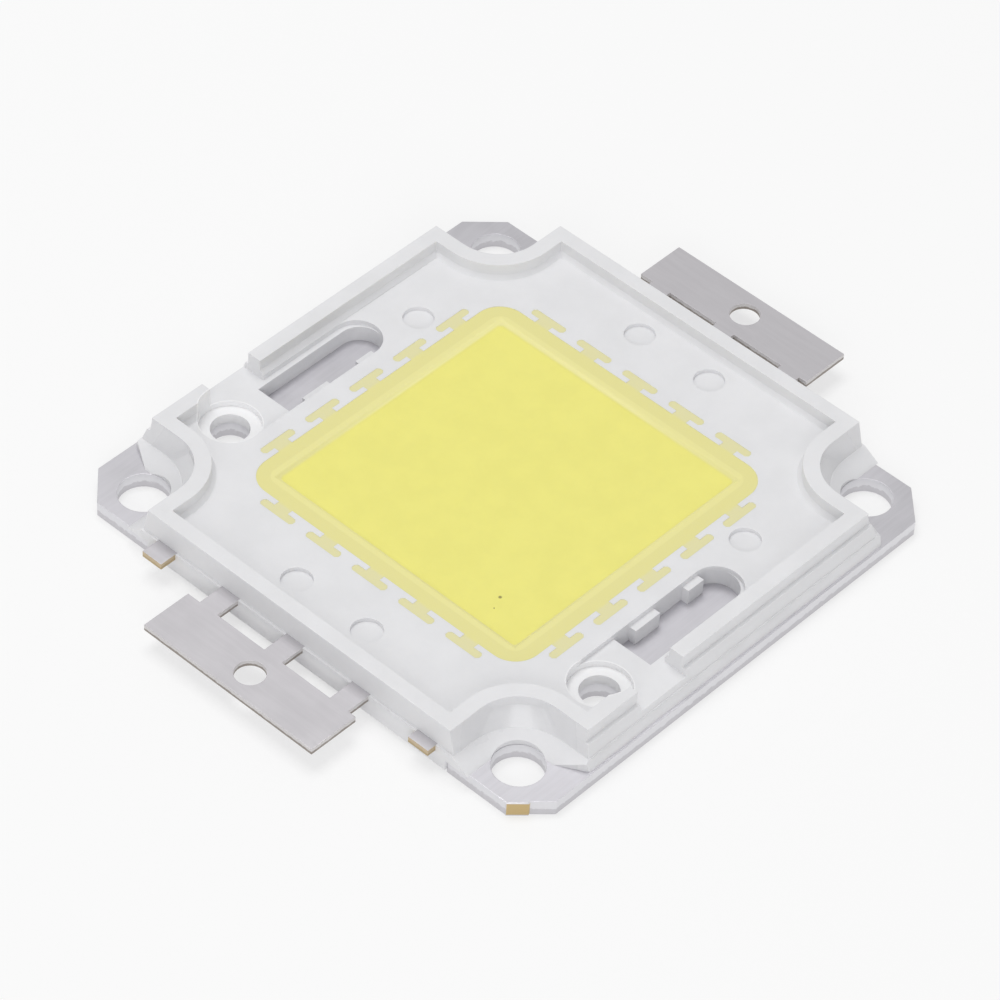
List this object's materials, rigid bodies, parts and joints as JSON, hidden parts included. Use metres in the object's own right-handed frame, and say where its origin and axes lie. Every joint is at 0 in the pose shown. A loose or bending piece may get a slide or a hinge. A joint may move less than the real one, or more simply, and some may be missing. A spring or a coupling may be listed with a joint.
{
  "type": "cob led",
  "caption": "Chip-on-board LED module: white moulded frame on a square plated base plate, yellow phosphor field, a slotted terminal on each side, corner fixing holes.",
  "frame": {"origin": "middle of the underside of the base plate", "axes": "+X towards the positive terminal, +Y along the long side that the pockets run beside, +Z out of the lit face"},
  "size_m": [0.052, 0.042, 0.004],
  "materials": {
    "plated_copper": "satin plating with a faint rolled grain",
    "white_moulding": "fine spark-eroded matt, as moulded",
    "lead_strip": "satin, with bright sheared edges",
    "phosphor_silicone": "soft satin, slightly translucent",
    "led_die": "polished sapphire",
    "gold_wire": "bright drawn wire"
  },
  "bodies": {
    "root": {"base_plate": "plated_copper", "frame": "white_moulding", "lead_positive": "lead_strip", "lead_negative": "lead_strip", "filling": "phosphor_silicone", "tie_stub_1": "lead_strip", "tie_stub_2": "lead_strip", "tie_stub_3": "lead_strip", "tie_stub_4": "lead_strip", "die_string_1": "led_die", "die_string_2": "led_die", "die_string_3": "led_die", "die_string_4": "led_die", "die_string_5": "led_die", "die_string_6": "led_die", "die_string_7": "led_die", "die_string_8": "led_die", "die_string_9": "led_die", "die_string_10": "led_die", "bond_wires_1": "gold_wire", "bond_wires_2": "gold_wire", "bond_wires_3": "gold_wire", "bond_wires_4": "gold_wire", "bond_wires_5": "gold_wire", "bond_wires_6": "gold_wire", "bond_wires_7": "gold_wire", "bond_wires_8": "gold_wire", "bond_wires_9": "gold_wire", "bond_wires_10": "gold_wire"}
  },
  "joints": []
}
